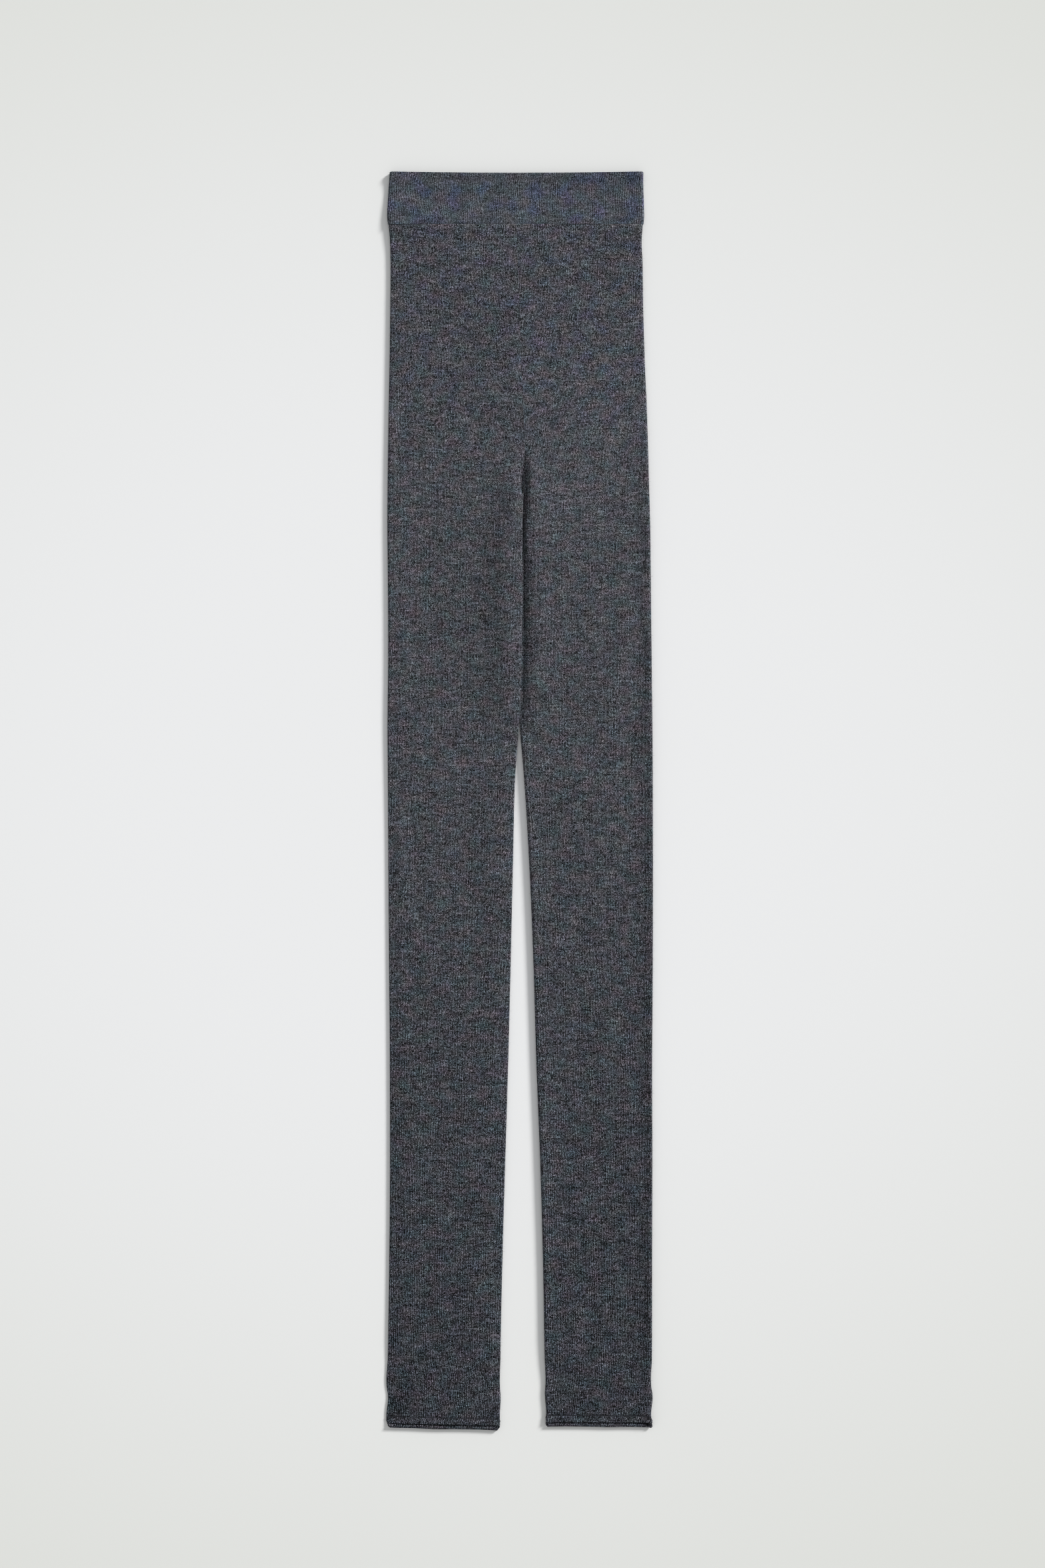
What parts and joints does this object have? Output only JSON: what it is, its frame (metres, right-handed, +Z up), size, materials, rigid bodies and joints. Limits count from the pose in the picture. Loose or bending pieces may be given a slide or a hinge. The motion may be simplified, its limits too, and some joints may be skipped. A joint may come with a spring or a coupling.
{
  "type": "pair of merino wool leggings",
  "caption": "Fine-knit wool leggings laid flat: wide doubled waistband, two shaped leg panels with one leg lying partly over the other, narrow turned ankle hems.",
  "frame": {"origin": "centre of the laid-out garment's outline, on the surface that it lies on", "axes": "+X towards the wearer's left leg, +Y from the ankles to the waist along the garment's length, +Z up from the surface through the thickness of the cloth"},
  "size_m": [0.2161, 1.02, 0.0069],
  "materials": {
    "band_knit": "matte heathered charcoal merino, doubled rib-look knit",
    "leg_knit": "matte heathered charcoal merino, fine plain knit",
    "hem_knit": "matte heathered charcoal merino, fine plain knit turned double"
  },
  "bodies": {
    "root": {"waistband": "band_knit", "right_leg": "leg_knit", "left_leg": "leg_knit", "right_hem": "hem_knit", "left_hem": "hem_knit"}
  },
  "joints": []
}
